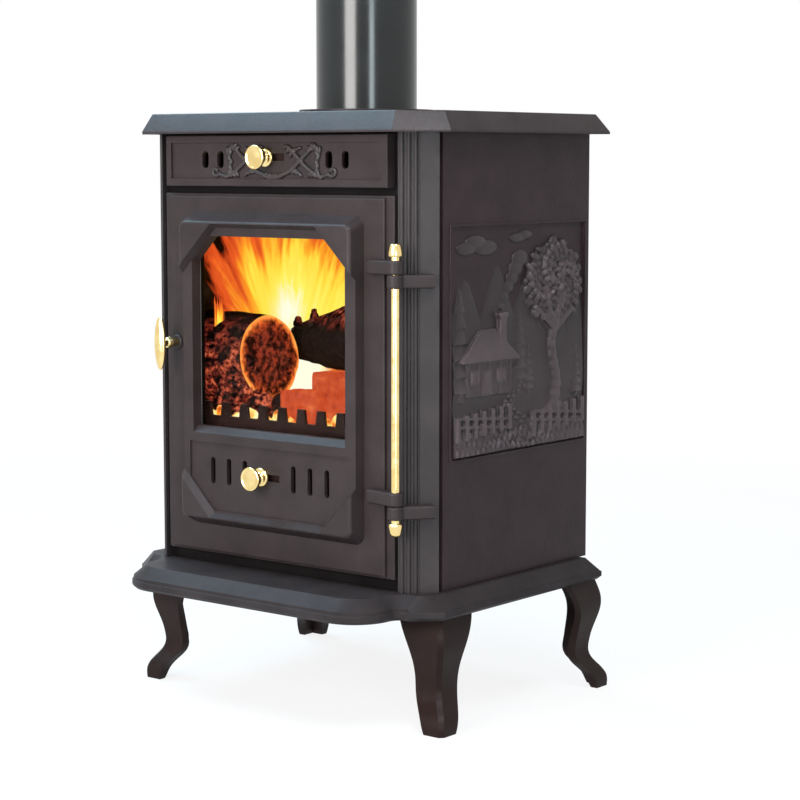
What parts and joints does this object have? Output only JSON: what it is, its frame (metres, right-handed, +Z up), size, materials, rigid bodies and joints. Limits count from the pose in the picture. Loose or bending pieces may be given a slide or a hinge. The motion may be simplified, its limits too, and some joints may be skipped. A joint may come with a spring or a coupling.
{
  "type": "wood stove",
  "caption": "Free-standing cast-iron wood stove with a glazed swing door, sliding air controls, brass fittings, cabriole legs, a moulded hearth shelf and a round top flue.",
  "frame": {"origin": "On the floor, under the middle of the overall box.", "axes": "+Z up, -Y out of the door, +X to the right of someone facing the door."},
  "size_m": [0.5012, 0.4326, 0.9705],
  "materials": {
    "cast_iron": "matte charcoal stove black",
    "polished_brass": "polished",
    "flue_enamel": "gloss black enamel",
    "stove_glass": "clear ceramic glass",
    "ceramic_fibre": "woven ceramic rope and tape",
    "fire_brick": "dry fire clay",
    "steel": "plain steel"
  },
  "bodies": {
    "stove": {"base_plate": "cast_iron", "leg_front_left": "cast_iron", "leg_front_right": "cast_iron", "leg_rear_left": "cast_iron", "leg_rear_right": "cast_iron", "corner_column_left": "cast_iron", "corner_column_right": "cast_iron", "side_panel_left": "cast_iron", "side_panel_right": "cast_iron", "rear_panel": "cast_iron", "front_frame": "cast_iron", "upper_front_panel": "cast_iron", "top_plate": "cast_iron", "flue_collar": "cast_iron", "hinge_bracket_upper": "cast_iron", "hinge_bracket_lower": "cast_iron", "grate": "cast_iron", "baffle_plate": "cast_iron", "log_guard": "cast_iron", "leg_bolts": "steel", "collar_screws": "steel", "tie_rods": "steel", "upper_slide_rails": "steel", "ash_pan": "steel", "ash_pan_runners": "steel", "hinge_rod": "polished_brass", "hinge_finial_upper": "polished_brass", "hinge_finial_lower": "polished_brass", "flue_pipe": "flue_enamel", "side_brick_left": "fire_brick", "side_brick_right": "fire_brick", "rear_brick": "fire_brick"},
    "door": {"door_casting": "cast_iron", "door_arm_upper": "cast_iron", "door_arm_lower": "cast_iron", "door_glass": "stove_glass", "glass_gasket": "ceramic_fibre", "glass_clips": "steel", "clip_screws": "steel", "door_rope_seal": "ceramic_fibre", "handle_rosette": "cast_iron", "lower_slide_rails": "steel"},
    "handle": {"handle_grip": "polished_brass", "handle_spindle": "polished_brass", "latch_cam": "steel"},
    "lower_slide": {"lower_air_slide": "steel", "lower_air_knob": "polished_brass"},
    "upper_slide": {"upper_air_slide": "steel", "upper_air_knob": "polished_brass"}
  },
  "joints": [
    {"name": "door_swing", "type": "hinge", "parent": "stove", "child": "door", "pos_m": [0.195, -0.1505, 0.4], "axis": [0, 0, 1], "range_deg": [0, 110]},
    {"name": "handle_turn", "type": "hinge", "parent": "door", "child": "handle", "pos_m": [-0.16, -0.1395, 0.44], "axis": [0, -1, 0], "range_deg": [0, 90]},
    {"name": "lower_air_slide", "type": "slide", "parent": "door", "child": "lower_slide", "axis": [1, 0, 0], "range_m": [0, 0.0245]},
    {"name": "upper_air_slide", "type": "slide", "parent": "stove", "child": "upper_slide", "axis": [1, 0, 0], "range_m": [0, 0.0245]}
  ]
}
